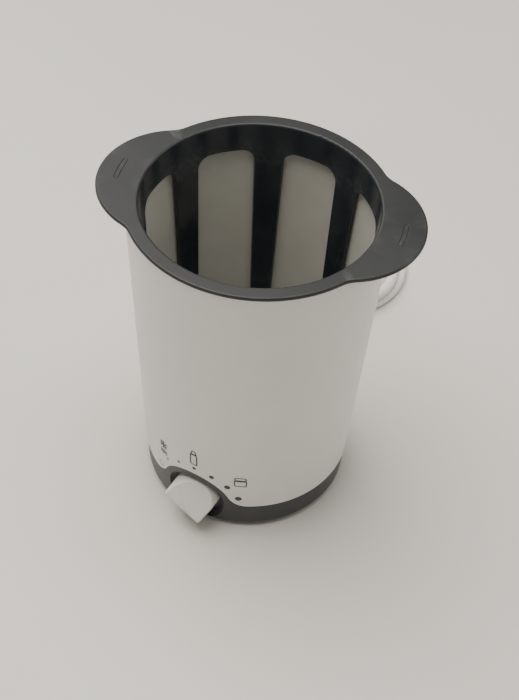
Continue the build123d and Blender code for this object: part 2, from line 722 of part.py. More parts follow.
def build_basket():
    """One-piece lift-out basket: rim, two ears, eight ribs and a drained floor."""
    floor_top = BASKET_FLOOR_Z + BASKET_FLOOR_THICK
    collar_z = HEIGHT - RIM_THICK
    window_height = WINDOW_TOP - WINDOW_BOTTOM
    with BuildPart() as basket:
        extrude(basket_rim_outline(), amount=RIM_THICK)
        rim_edges = basket.edges().group_by(Axis.Z)
        fillet(rim_edges[-1], radius=0.7)
        fillet(basket.edges().group_by(Axis.Z)[0], radius=0.5)
        turned([
            (0, HEIGHT + 1),
            (MOUTH_R, HEIGHT + 1),
            (MOUTH_R, HEIGHT),
            (basket_r(collar_z), collar_z),
            (0, collar_z),
        ], Mode.SUBTRACT)
        turned([
            (basket_r(collar_z), collar_z),
            (basket_r(collar_z) + BASKET_WALL, collar_z + 0.5),
            (basket_r(BASKET_FLOOR_Z) + BASKET_WALL, BASKET_FLOOR_Z),
            (0, BASKET_FLOOR_Z),
            (0, floor_top),
            (basket_r(floor_top), floor_top),
        ])
        circles = basket.edges().filter_by(GeomType.CIRCLE).group_by(Axis.Z)[-1]
        fillet(circles.filter_by(lambda e: abs(e.radius - MOUTH_R) < 0.01), radius=0.9)
        for step in range(WINDOW_COUNT):
            angle = WINDOW_FIRST_ANGLE + step * 360 / WINDOW_COUNT
            with BuildSketch(side_plane(angle)) as window:
                with Locations((0, (WINDOW_TOP + WINDOW_BOTTOM) / 2)):
                    RectangleRounded(WINDOW_WIDTH, window_height, WINDOW_CORNER_R)
            extrude(window.sketch, amount=60, mode=Mode.SUBTRACT)
        with BuildSketch(Plane.XY.offset(BASKET_FLOOR_Z)) as drains:
            Circle(9.0)
            with PolarLocations(25.0, WINDOW_COUNT, start_angle=WINDOW_FIRST_ANGLE):
                SlotOverall(18.0, 7.0)
        extrude(drains.sketch, amount=BASKET_FLOOR_THICK, mode=Mode.SUBTRACT)
        extrude(ear_mark_outline(), amount=-EAR_MARK_DEPTH, mode=Mode.SUBTRACT)
    save(basket, "basket")


# ---------------------------------------------------------------- wiring inside
def build_inner_wires():
    """Short leads between the board, the heater, the sensor and the switch."""
    supply_z = BOARD_TOP + 3.4
    with BuildPart() as supply_wires:
        for x_start, x_end in ((-1.2, -5.0), (1.2, -1.4)):
            points = [
                (x_start, LEAD_END_Y, CORD_EXIT_Z),
                (x_start, 21.6, CORD_EXIT_Z),
                (x_end, 21.6, supply_z),
                (x_end, 17.5, supply_z),
            ]
            wire(points, 0.8, 1.1)
    save(supply_wires, "supply_wires")
    with BuildPart() as heater_wires:
        for y in (-8, 8):
            wire([(22, y, BOARD_TOP), (22, y, 30.0), (16, y, 30.0)], 0.8, 3.0)
    save(heater_wires, "heater_wires")
    with BuildPart() as sensor_wires:
        for x in (-1, 1):
            post(x, -17, 0.5, BOARD_TOP, HEATER_TOP - 3.4)
    save(sensor_wires, "sensor_wires")
    with BuildPart() as switch_wires:
        for x in (-4, 0, 4):
            wire([(x, -SWITCH_BACK, 15.0), (x, -18.8, 15.0), (x, -18.8, BOARD_TOP)], 0.6, 2.5)
    save(switch_wires, "switch_wires")


def build_inner_lead():
    """Sheathed end of the mains cord, from the strain relief's tip to its clamp."""
    with BuildPart() as inner_lead:
        with BuildSketch(rear_plane(LEAD_END_Y)) as section:
            Circle(CORD_R)
        extrude(section.sketch, amount=RELIEF_TIP_Y - LEAD_END_Y)
    save(inner_lead, "inner_lead")


def build_cord_clamp():
    """Plastic bar that grips the cord on its saddle, with its two screws."""
    with BuildPart() as cord_clamp:
        block((0, CLAMP_Y, CLAMP_SEAT_Z), (24.0, 6.0, 3.6))
        fillet(cord_clamp.edges().filter_by(Axis.Z), radius=1.5)
        with BuildSketch(rear_plane(CLAMP_Y - 4)) as groove:
            Circle(CORD_R)
        extrude(groove.sketch, amount=8, mode=Mode.SUBTRACT)
        for side in (-1, 1):
            post(side * CLAMP_X, CLAMP_Y, 1.3, CLAMP_SEAT_Z, CLAMP_SEAT_Z + 3.6, Mode.SUBTRACT)
    save(cord_clamp, "cord_clamp")
    with BuildPart() as clamp_screws:
        for side in (-1, 1):
            pan_screw(side * CLAMP_X, CLAMP_Y, CLAMP_SEAT_Z + 3.6, 1.1, 2.2, 1.6, 9.0)
    save(clamp_screws, "clamp_screws")


def build_strain_relief():
    """Tapered grommet around the cord where it leaves the base."""
    outline = [
        (CORD_R, 34.5), (4.2, 34.5), (4.2, 38.5), (5.8, 38.5), (5.8, 41.6), (4.4, 41.6), (4.4, 44.8),
        (5.6, 44.8), (5.6, 46.2), (4.9, 46.8), (3.3, RELIEF_TIP_Y), (CORD_R, RELIEF_TIP_Y),
    ]
    with BuildPart() as strain_relief:
        with BuildSketch(Plane.YZ) as profile:
            with BuildLine():
                Polyline(*[(y, CORD_EXIT_Z + r) for r, y in outline], close=True)
            make_face()
        revolve(profile.sketch, axis=Axis((0, 0, CORD_EXIT_Z), (0, 1, 0)))
    save(strain_relief, "strain_relief")


# ---------------------------------------------------------------- free cord
def build_cord_tube(route, name):
    """Round cord along straight runs joined by tangent arcs."""
    radii = turn_radii(route)
    with BuildPart() as tube:
        with BuildLine() as path:
            FilletPolyline(*route, radius=radii)
        with BuildSketch(Plane(origin=path.line @ 0, z_dir=path.line % 0)) as section:
            Circle(CORD_R)
        sweep(section.sketch, path=path.line)
    length = sum(edge.length for edge in path.edges())
    expected = math.pi * CORD_R**2 * length
    print(name, "radii", [round(r, 1) for r in radii], "length", round(length, 1))
    print(name, "volume over section times length", round(tube.part.volume / expected, 4))
    save(tube, name)


def build_cord_coil():
    """Outer shape of the wound cord, two layers of three turns."""
    corner = CORD_R
    with BuildPart() as cord_coil:
        with BuildSketch(Plane(origin=(*COIL_CENTRE, 0), x_dir=(1, 0, 0), z_dir=(0, -1, 0))) as section:
            with Locations(((COIL_INNER_R + COIL_OUTER_R) / 2, (COIL_BOTTOM + COIL_TOP) / 2)):
                RectangleRounded(COIL_OUTER_R - COIL_INNER_R, COIL_TOP - COIL_BOTTOM, corner)
        revolve(section.sketch, axis=Axis((*COIL_CENTRE, 0), (0, 0, 1)))
    save(cord_coil, "cord_coil")


def build_cord_tie():
    """Flat tie round the bundle of turns."""
    tie_t = 0.9
    half_angle = 3.2
    middle = 160.0
    turn = math.radians(middle - half_angle)
    plane = Plane(
        origin=(*COIL_CENTRE, 0),
        x_dir=(math.cos(turn), math.sin(turn), 0),
        z_dir=(math.sin(turn), -math.cos(turn), 0),
    )
    width = COIL_OUTER_R - COIL_INNER_R
    height = COIL_TOP - COIL_BOTTOM
    with BuildPart() as cord_tie:
        with BuildSketch(plane) as section:
            with Locations(((COIL_INNER_R + COIL_OUTER_R) / 2, (COIL_BOTTOM + COIL_TOP) / 2)):
                RectangleRounded(width + 2 * tie_t, height + 2 * tie_t, CORD_R + tie_t)
                RectangleRounded(width, height, CORD_R, mode=Mode.SUBTRACT)
        revolve(section.sketch, axis=Axis((*COIL_CENTRE, 0), (0, 0, 1)), revolution_arc=2 * half_angle)
        block((*COIL_CENTRE, -5), (200, 200, 5 + COIL_BOTTOM / 2), Mode.SUBTRACT)
    save(cord_tie, "cord_tie")


def build_plug():
    """Flat two-pin plug with its flexible tail."""
    tail_end = PLUG_TAIL_Y + 16
    shoulder = PLUG_FACE_Y - 18
    with BuildPart() as plug_body:
        with BuildSketch(rear_plane(PLUG_TAIL_Y, PLUG_X, PLUG_Z)) as tail_tip:
            Circle(3.3)
        with BuildSketch(rear_plane(tail_end, PLUG_X, PLUG_Z)) as tail_root:
            Circle(4.8)
        loft([tail_tip.sketch, tail_root.sketch])
        with BuildSketch(rear_plane(tail_end, PLUG_X, PLUG_Z)) as neck:
            RectangleRounded(15.0, 10.6, 4.0)
        with BuildSketch(rear_plane(shoulder, PLUG_X, PLUG_Z)) as shoulders:
            RectangleRounded(35.3, 13.7, 5.0)
        loft([neck.sketch, shoulders.sketch])
        extrude(shoulders.sketch, amount=PLUG_FACE_Y - shoulder)
        fillet(plug_body.faces().sort_by(Axis.Y)[-1].edges(), radius=1.0)
        with BuildSketch(rear_plane(PLUG_FACE_Y - 8, PLUG_X, PLUG_Z)) as sockets:
            with GridLocations(PIN_SPACING, 1, 2, 1):
                Circle(2.0)
        extrude(sockets.sketch, amount=10, mode=Mode.SUBTRACT)
    save(plug_body, "plug_body")
    with BuildPart() as plug_pins:
        with BuildSketch(rear_plane(PLUG_FACE_Y - 8, PLUG_X, PLUG_Z)) as pins:
            with GridLocations(PIN_SPACING, 1, 2, 1):
                Circle(2.0)
        extrude(pins.sketch, amount=27)
        fillet(plug_pins.edges().group_by(Axis.Y)[-1], radius=1.6)
    save(plug_pins, "plug_pins")


build_housing_shell()
build_base_cover()
build_rubber_feet()
build_base_screws()
build_chamber_tub()
build_heater_plate()
build_plate_seal()
build_heater_bracket()
build_bracket_screws()
build_ptc_heater()
build_thermal_fuse()
build_temperature_sensor()
build_heat_shield()
build_control_board()
build_board_screws()
build_board_parts()
build_rotary_switch()
build_switch_screws()
build_knob_spindle()
build_control_knob()
build_basket()
build_inner_wires()
build_inner_lead()
build_cord_clamp()
build_strain_relief()
build_cord_tube(CORD_ROUTE, "mains_cord")
build_cord_tube(TAIL_ROUTE, "cord_tail")
build_cord_coil()
build_cord_tie()
build_plug()
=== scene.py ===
"""Looks of an electric bottle warmer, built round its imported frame.

Each sub-assembly is a class that makes its own pieces and dresses them. Metres
throughout, +Z up, with the control knob facing -Y.
"""

import logging
import math
from dataclasses import dataclass
from enum import Enum
from typing import Sequence

import bmesh
import bpy
from mathutils import Matrix, Vector


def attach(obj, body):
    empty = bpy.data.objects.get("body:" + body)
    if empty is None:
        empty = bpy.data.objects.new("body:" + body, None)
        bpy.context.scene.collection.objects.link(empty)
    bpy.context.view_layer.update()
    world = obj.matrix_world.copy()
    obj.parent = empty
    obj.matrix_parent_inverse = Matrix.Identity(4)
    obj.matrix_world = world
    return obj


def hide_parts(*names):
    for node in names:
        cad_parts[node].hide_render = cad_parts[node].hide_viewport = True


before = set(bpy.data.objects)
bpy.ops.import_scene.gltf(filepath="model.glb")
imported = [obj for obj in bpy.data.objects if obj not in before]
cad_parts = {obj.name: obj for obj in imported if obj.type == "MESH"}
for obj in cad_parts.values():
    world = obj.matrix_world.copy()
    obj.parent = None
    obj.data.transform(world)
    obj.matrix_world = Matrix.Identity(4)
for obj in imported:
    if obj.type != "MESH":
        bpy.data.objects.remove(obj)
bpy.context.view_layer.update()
LOG = logging.getLogger("bottle_warmer")

Point = tuple[float, float, float]
Colour = tuple[float, float, float]
MM = 0.001


# ---------------------------------------------------------------- naming and links
class Body(Enum):
    """Rigid bodies of the warmer."""

    WARMER = "warmer"
    BASKET = "basket"
    KNOB = "knob"


def node(name: str) -> bpy.types.Object:
    """Returns the frame's object of that name.

    Args:
        name: Name of the frame's node.

    Returns:
        The object that the frame holds for it.
    """
    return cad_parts[name]


def dress(material: bpy.types.Material, *names: str) -> None:
    """Puts one material on frame nodes.

    Args:
        material: The finish to assign.
        names: Nodes that take it.
    """
    for name in names:
        slots = node(name).material_slots
        if not slots:
            node(name).data.materials.append(material)
        for slot in slots:
            slot.material = material


def link(data: bpy.types.Mesh | bpy.types.Curve, name: str, material: bpy.types.Material) -> bpy.types.Object:
    """Makes an object from mesh or curve data and gives it a material.

    Args:
        data: The mesh or curve.
        name: Object name.
        material: The finish to assign.

    Returns:
        The linked object.
    """
    data.materials.append(material)
    made = bpy.data.objects.new(name, data)
    bpy.context.scene.collection.objects.link(made)
    return made


def mesh_from(bm: bmesh.types.BMesh, name: str, smooth: bool = True) -> bpy.types.Mesh:
    """Closes a bmesh into a mesh.

    Args:
        bm: The finished bmesh; it is freed.
        name: Mesh name.
        smooth: Whether faces shade smoothly.

    Returns:
        The mesh.
    """
    bmesh.ops.recalc_face_normals(bm, faces=bm.faces)
    for face in bm.faces:
        face.smooth = smooth
    mesh = bpy.data.meshes.new(name)
    bm.to_mesh(mesh)
    bm.free()
    return mesh


# ---------------------------------------------------------------- node tools
class Nodes:
    """Short way to add and wire the nodes of one tree."""

    def __init__(self, tree: bpy.types.NodeTree) -> None:
        """Keeps the tree that nodes are added to."""
        self.tree = tree

    def add(self, kind: str, **settings: object) -> bpy.types.Node:
        """Adds a node and sets its properties.

        Args:
            kind: Node type without the ShaderNode prefix.
            settings: Properties of the node.

        Returns:
            The new node.
        """
        made = self.tree.nodes.new(kind if kind.startswith("Node") else "ShaderNode" + kind)
        for key, value in settings.items():
            setattr(made, key, value)
        return made

    def wire(self, source: bpy.types.NodeSocket, target: bpy.types.NodeSocket) -> None:
        """Links an output to an input."""
        self.tree.links.new(source, target)

    def maths(self, operation: str, *values: object, clamp: bool = False) -> bpy.types.NodeSocket:
        """Adds a Math node.

        Args:
            operation: Name of the operation.
            values: Numbers or sockets for the inputs.
            clamp: Whether the result is held between 0 and 1.

        Returns:
            The node's output.
        """
        made = self.add("Math", operation=operation, use_clamp=clamp)
        for place, value in enumerate(values):
            if isinstance(value, (int, float)):
                made.inputs[place].default_value = value
            else:
                self.wire(value, made.inputs[place])
        return made.outputs[0]

    def ramp(self, value: bpy.types.NodeSocket, low: float, high: float,
             to_low: float = 0.0, to_high: float = 1.0) -> bpy.types.NodeSocket:
        """Maps a range of values to another with soft ends.

        Args:
            value: The varying input.
            low: Value that maps to to_low.
            high: Value that maps to to_high.
            to_low: Result at low.
            to_high: Result at high.

        Returns:
            The mapped value.
        """
        made = self.add("MapRange", interpolation_type="SMOOTHSTEP")
        self.wire(value, made.inputs["Value"])
        for name, number in (("From Min", low), ("From Max", high), ("To Min", to_low), ("To Max", to_high)):
            made.inputs[name].default_value = number
        return made.outputs["Result"]

    def blend(self, amount: object, one: object, two: object, mode: str = "MIX") -> bpy.types.NodeSocket:
        """Mixes two colours.

        Args:
            amount: Number or socket from 0 to 1.
            one: First colour or socket.
            two: Second colour or socket.
            mode: Blend mode.

        Returns:
            The mixed colour.
        """
        made = self.add("Mix", data_type="RGBA", blend_type=mode)
        for place, value in ((0, amount), (6, one), (7, two)):
            if isinstance(value, (int, float)):
                made.inputs[place].default_value = value
            elif isinstance(value, tuple):
                made.inputs[place].default_value = (*value[:3], 1.0)
            else:
                self.wire(value, made.inputs[place])
        return made.outputs[2]

    def noise(self, where: bpy.types.NodeSocket, scale: float, detail: float = 2.0,
              rough: float = 0.5) -> bpy.types.NodeSocket:
        """Adds a noise texture.

        Args:
            where: Coordinates.
            scale: Spots for each metre.
            detail: Octaves.
            rough: Weight of the finer octaves.

        Returns:
            The noise value.
        """
        made = self.add("TexNoise")
        self.wire(where, made.inputs["Vector"])
        made.inputs["Scale"].default_value = scale
        made.inputs["Detail"].default_value = detail
        made.inputs["Roughness"].default_value = rough
        return made.outputs["Fac"]


class Effects:
    """Shader node groups that several finishes share."""

    _made: dict[str, bpy.types.NodeTree] = {}

    @classmethod
    def _group(cls, name: str, inputs: Sequence[tuple[str, str, float]],
               outputs: Sequence[tuple[str, str]]) -> tuple[bpy.types.NodeTree, Nodes]:
        """Starts a group with named sockets.

        Args:
            name: Group name.
            inputs: Name, socket type and default of each input.
            outputs: Name and socket type of each output.

        Returns:
            The tree and its node helper.
        """
        tree = bpy.data.node_groups.new(name, "ShaderNodeTree")
        for title, kind, default in inputs:
            socket = tree.interface.new_socket(name=title, in_out="INPUT", socket_type=kind)
            socket.default_value = default
        for title, kind in outputs:
            tree.interface.new_socket(name=title, in_out="OUTPUT", socket_type=kind)
        return tree, Nodes(tree)

    @classmethod
    def moulded_skin(cls) -> bpy.types.NodeTree:
        """Fine texture and slow waviness of an injection-moulded surface.

        Returns:
            The group, with Height, Gloss and Tone outputs.
        """
        if "moulded_skin" in cls._made:
            return cls._made["moulded_skin"]
        tree, nodes = cls._group(
            "moulded_skin",
            [("Grain Scale", "NodeSocketFloat", 2600.0), ("Grain Depth", "NodeSocketFloat", 1.0),
             ("Wave Depth", "NodeSocketFloat", 0.4)],
            [("Height", "NodeSocketFloat"), ("Gloss", "NodeSocketFloat"), ("Tone", "NodeSocketFloat")],
        )
        entry = nodes.add("NodeGroupInput")
        leave = nodes.add("NodeGroupOutput")
        where = nodes.add("TexCoord").outputs["Object"]
        grain = nodes.add("TexNoise")
        nodes.wire(where, grain.inputs["Vector"])
        nodes.wire(entry.outputs["Grain Scale"], grain.inputs["Scale"])
        grain.inputs["Detail"].default_value = 3.0
        wave = nodes.noise(where, 55.0, 2.0, 0.4)
        cloud = nodes.noise(where, 24.0, 3.0, 0.55)
        fine = nodes.maths("MULTIPLY", grain.outputs["Fac"], entry.outputs["Grain Depth"])
        slow = nodes.maths("MULTIPLY", wave, entry.outputs["Wave Depth"])
        nodes.wire(nodes.maths("ADD", fine, slow), leave.inputs["Height"])
        nodes.wire(nodes.ramp(cloud, 0.3, 0.72), leave.inputs["Gloss"])
        nodes.wire(nodes.ramp(nodes.noise(where, 70.0, 4.0, 0.6), 0.25, 0.75), leave.inputs["Tone"])
        cls._made["moulded_skin"] = tree
        return tree

    @classmethod
    def settled_dust(cls) -> bpy.types.NodeTree:
        """Sparse dust on surfaces that face up.

        Returns:
            The group, with a Dust mask output.
        """
        if "settled_dust" in cls._made:
            return cls._made["settled_dust"]
        tree, nodes = cls._group(
            "settled_dust",
            [("Amount", "NodeSocketFloat", 0.5)],
            [("Dust", "NodeSocketFloat")],
        )
        entry = nodes.add("NodeGroupInput")
        leave = nodes.add("NodeGroupOutput")
        where = nodes.add("TexCoord").outputs["Object"]
        normal = nodes.add("SeparateXYZ")
        nodes.wire(nodes.add("NewGeometry").outputs["Normal"], normal.inputs[0])
        facing = nodes.ramp(normal.outputs["Z"], 0.35, 0.95)
        specks = nodes.ramp(nodes.noise(where, 1500.0, 2.0, 0.6), 0.62, 0.74)
        patches = nodes.ramp(nodes.noise(where, 60.0, 3.0, 0.6), 0.38, 0.7)
        mask = nodes.maths("MULTIPLY", nodes.maths("MULTIPLY", specks, patches), facing)
        nodes.wire(nodes.maths("MULTIPLY", mask, entry.outputs["Amount"], clamp=True), leave.inputs["Dust"])
        cls._made["settled_dust"] = tree
        return tree

    @classmethod
    def edge_wear_and_painted_highlight(cls) -> bpy.types.NodeTree:
        """Brighter line along raised edges, from the surface's pointiness: a painted highlight on plastic
        edges and wear on metal edges.

        Returns:
            The group, with an Edge mask output.
        """
        if "edge_wear_and_painted_highlight" in cls._made:
            return cls._made["edge_wear_and_painted_highlight"]
        tree, nodes = cls._group(
            "edge_wear_and_painted_highlight",
            [("Amount", "NodeSocketFloat", 0.5)],
            [("Edge", "NodeSocketFloat")],
        )
        entry = nodes.add("NodeGroupInput")
        leave = nodes.add("NodeGroupOutput")
        where = nodes.add("TexCoord").outputs["Object"]
        point = nodes.add("NewGeometry").outputs["Pointiness"]
        edge = nodes.ramp(point, 0.52, 0.6)
        broken = nodes.ramp(nodes.noise(where, 420.0, 3.0, 0.6), 0.35, 0.65, 0.35, 1.0)
        mask = nodes.maths("MULTIPLY", edge, broken)
        nodes.wire(nodes.maths("MULTIPLY", mask, entry.outputs["Amount"], clamp=True), leave.inputs["Edge"])
        cls._made["edge_wear_and_painted_highlight"] = tree
        return tree


# ---------------------------------------------------------------- finishes
@dataclass(frozen=True)
class Plastic:
    """Moulded plastic with a fine skin, faint tone changes, dust, soft edges and a painted highlight along
    its edges.

    Attributes:
        name: Material name.
        colour: Main colour.
        shade: Slightly different colour that it drifts to.
        rough: Roughness range over the surface.
        grain_scale: Spots of the skin for each metre.
        grain_depth: Weight of the skin.
        wave_depth: Weight of the slow waviness.
        bump: Depth of the skin in millimetres.
        dust: Amount of settled dust.
        edge: Amount of painted highlight along edges, blended towards edge_colour.
        edge_radius: Rounding that the shading gives to sharp edges, in millimetres.
        specular: Specular level.
        coat: Clear gloss over the colour.
        subsurface: Share of light that spreads inside.
    """

    name: str
    colour: Colour
    shade: Colour
    rough: tuple[float, float] = (0.32, 0.4)
    grain_scale: float = 2600.0
    grain_depth: float = 1.0
    wave_depth: float = 0.35
    bump: float = 0.012
    dust: float = 0.35
    dust_colour: Colour = (0.5, 0.48, 0.45)
    edge: float = 0.25
    # Colour that edges blend to: a painted edge highlight.
    edge_colour: Colour = (0.5, 0.5, 0.5)
    edge_radius: float = 0.0
    specular: float = 0.5
    coat: float = 0.0
    coat_rough: float = 0.15
    subsurface: float = 0.0

    def build(self) -> bpy.types.Material:
        """Makes the material.

        Returns:
            The material with its node tree.
        """
        made = bpy.data.materials.new(self.name)
        made.use_nodes = True
        nodes = Nodes(made.node_tree)
        shader = made.node_tree.nodes["Principled BSDF"]
        skin = nodes.add("Group", node_tree=Effects.moulded_skin())
        skin.inputs["Grain Scale"].default_value = self.grain_scale
        skin.inputs["Grain Depth"].default_value = self.grain_depth
        skin.inputs["Wave Depth"].default_value = self.wave_depth
        colour = nodes.blend(skin.outputs["Tone"], self.colour, self.shade)
        # Painted highlight: raised edges blended towards edge_colour.
        if self.edge:
            edge = nodes.add("Group", node_tree=Effects.edge_wear_and_painted_highlight())
            edge.inputs["Amount"].default_value = self.edge
            colour = nodes.blend(edge.outputs["Edge"], colour, self.edge_colour)
        if self.dust:
            dust = nodes.add("Group", node_tree=Effects.settled_dust())
            dust.inputs["Amount"].default_value = self.dust
            colour = nodes.blend(dust.outputs["Dust"], colour, self.dust_colour)
        nodes.wire(colour, shader.inputs["Base Color"])
        nodes.wire(nodes.ramp(skin.outputs["Gloss"], 0.0, 1.0, *self.rough), shader.inputs["Roughness"])
        bump = nodes.add("Bump")
        bump.inputs["Strength"].default_value = 1.0
        bump.inputs["Distance"].default_value = self.bump * MM
        nodes.wire(skin.outputs["Height"], bump.inputs["Height"])
        if self.edge_radius:
            bevel = nodes.add("Bevel", samples=6)
            bevel.inputs["Radius"].default_value = self.edge_radius * MM
            nodes.wire(bevel.outputs["Normal"], bump.inputs["Normal"])
        nodes.wire(bump.outputs["Normal"], shader.inputs["Normal"])
        shader.inputs["Specular IOR Level"].default_value = self.specular
        shader.inputs["Coat Weight"].default_value = self.coat
        shader.inputs["Coat Roughness"].default_value = self.coat_rough
        if self.subsurface:
            shader.inputs["Subsurface Weight"].default_value = self.subsurface
            shader.inputs["Subsurface Radius"].default_value = (1.0, 0.9, 0.8)
            shader.inputs["Subsurface Scale"].default_value = 0.0015
        return made


@dataclass(frozen=True)
class Metal:
    """Bare or plated metal with drawn or turned marks.

    Attributes:
        name: Material name.
        colour: Colour of the clean metal.
        stain: Duller colour that it drifts to.
        rough: Roughness range.
        stretch: Scale of the marks along X, Y and Z.
        bump: Depth of the marks in millimetres.
    """

    name: str
    colour: Colour
    stain: Colour
    rough: tuple[float, float] = (0.25, 0.42)
    stretch: Point = (1500.0, 1500.0, 120.0)
    bump: float = 0.01

    def build(self) -> bpy.types.Material:
        """Makes the material.

        Returns:
            The material with its node tree.
        """
        made = bpy.data.materials.new(self.name)
        made.use_nodes = True
        nodes = Nodes(made.node_tree)
        shader = made.node_tree.nodes["Principled BSDF"]
        where = nodes.add("TexCoord").outputs["Object"]
        mapping = nodes.add("Mapping")
        mapping.inputs["Scale"].default_value = self.stretch
        nodes.wire(where, mapping.inputs["Vector"])
        marks = nodes.noise(mapping.outputs["Vector"], 1.0, 3.0, 0.6)
        clouds = nodes.noise(where, 130.0, 3.0, 0.6)
        colour = nodes.blend(nodes.ramp(clouds, 0.35, 0.7), self.colour, self.stain)
        edge = nodes.add("Group", node_tree=Effects.edge_wear_and_painted_highlight())
        edge.inputs["Amount"].default_value = 0.4
        nodes.wire(nodes.blend(edge.outputs["Edge"], colour, self.colour), shader.inputs["Base Color"])
        nodes.wire(nodes.ramp(marks, 0.3, 0.7, *self.rough), shader.inputs["Roughness"])
        bump = nodes.add("Bump")
        bump.inputs["Distance"].default_value = self.bump * MM
        nodes.wire(marks, bump.inputs["Height"])
        nodes.wire(bump.outputs["Normal"], shader.inputs["Normal"])
        shader.inputs["Metallic"].default_value = 1.0
        return made


@dataclass(frozen=True)
class PrintedInk:
    """Thin printed ink with slightly uneven cover.

    Attributes:
        name: Material name.
        colour: Ink colour.
        thin: Colour where the cover is thin.
    """

    name: str
    colour: Colour
    thin: Colour

    def build(self) -> bpy.types.Material:
        """Makes the material.

        Returns:
            The material with its node tree.
        """
        made = bpy.data.materials.new(self.name)
        made.use_nodes = True
        nodes = Nodes(made.node_tree)
        shader = made.node_tree.nodes["Principled BSDF"]
        where = nodes.add("TexCoord").outputs["Object"]
        cover = nodes.ramp(nodes.noise(where, 2200.0, 3.0, 0.7), 0.35, 0.75)
        nodes.wire(nodes.blend(cover, self.colour, self.thin), shader.inputs["Base Color"])
        nodes.wire(nodes.ramp(cover, 0.0, 1.0, 0.4, 0.55), shader.inputs["Roughness"])
        return made


@dataclass(frozen=True)
class TwoToneMoulding:
    """Black moulding with a satin top face and a glossy inside.

    Attributes:
        name: Material name.
        satin: Colour of the satin faces.
        gloss: Colour of the glossy faces.
        face_height: Height in metres above which level faces are satin.
        collar_height: Height in metres below which nothing is satin.
        inner_radius: Distance from the axis in metres past which all faces of the rim are satin.
    """

    name: str
    satin: Colour
    gloss: Colour
    face_height: float
    collar_height: float = 0.1475
    inner_radius: float = 0.0478

    def build(self) -> bpy.types.Material:
        """Makes the material.

        Returns:
            The material with its node tree.
        """
        made = bpy.data.materials.new(self.name)
        made.use_nodes = True
        nodes = Nodes(made.node_tree)
        shader = made.node_tree.nodes["Principled BSDF"]
        place = nodes.add("SeparateXYZ")
        nodes.wire(nodes.add("TexCoord").outputs["Object"], place.inputs[0])
        flat = nodes.add("SeparateXYZ")
        nodes.wire(nodes.add("NewGeometry").outputs["Normal"], flat.inputs[0])
        high = nodes.ramp(place.outputs["Z"], self.face_height - 0.0006, self.face_height - 0.0002)
        level = nodes.ramp(nodes.maths("ABSOLUTE", flat.outputs["Z"]), 0.25, 0.8)
        radius = nodes.add("VectorMath", operation="LENGTH")
        ground = nodes.add("CombineXYZ")
        nodes.wire(place.outputs["X"], ground.inputs["X"])
        nodes.wire(place.outputs["Y"], ground.inputs["Y"])
        nodes.wire(ground.outputs[0], radius.inputs[0])
        outside = nodes.ramp(radius.outputs["Value"], self.inner_radius, self.inner_radius + 0.6 * MM)
        raised = nodes.ramp(place.outputs["Z"], self.collar_height, self.collar_height + 0.5 * MM)
        upper = nodes.maths("MAXIMUM", outside, nodes.maths("MULTIPLY", high, level))
        satin = nodes.maths("MULTIPLY", raised, upper)
        skin = nodes.add("Group", node_tree=Effects.moulded_skin())
        skin.inputs["Grain Scale"].default_value = 3200.0
        skin.inputs["Grain Depth"].default_value = 1.0
        skin.inputs["Wave Depth"].default_value = 0.5
        edge = nodes.add("Group", node_tree=Effects.edge_wear_and_painted_highlight())
        edge.inputs["Amount"].default_value = 0.25
        dust = nodes.add("Group", node_tree=Effects.settled_dust())
        dust.inputs["Amount"].default_value = 0.1
        colour = nodes.blend(satin, self.gloss, self.satin)
        tone = nodes.maths("MULTIPLY", skin.outputs["Tone"], 0.25)
        colour = nodes.blend(tone, colour, (0.03, 0.033, 0.037))
        # Painted highlight: edges of the black moulding turned lighter grey.
        colour = nodes.blend(edge.outputs["Edge"], colour, (0.16, 0.165, 0.17))
        colour = nodes.blend(dust.outputs["Dust"], colour, (0.32, 0.31, 0.3))
        nodes.wire(colour, shader.inputs["Base Color"])
        rough_inside = nodes.ramp(skin.outputs["Gloss"], 0.0, 1.0, 0.12, 0.2)
        rough_top = nodes.ramp(skin.outputs["Gloss"], 0.0, 1.0, 0.38, 0.46)
        mixed = nodes.add("Mix", data_type="FLOAT")
        nodes.wire(satin, mixed.inputs[0])
        nodes.wire(rough_inside, mixed.inputs[2])
        nodes.wire(rough_top, mixed.inputs[3])
        nodes.wire(mixed.outputs[0], shader.inputs["Roughness"])
        grainy = nodes.maths("MULTIPLY", skin.outputs["Height"],
                             nodes.ramp(satin, 0.0, 1.0, 0.15, 1.0))
        bump = nodes.add("Bump")
        bump.inputs["Distance"].default_value = 0.014 * MM
        nodes.wire(grainy, bump.inputs["Height"])
        bevel = nodes.add("Bevel", samples=6)
        bevel.inputs["Radius"].default_value = 0.45 * MM
        nodes.wire(bevel.outputs["Normal"], bump.inputs["Normal"])
        nodes.wire(bump.outputs["Normal"], shader.inputs["Normal"])
        return made


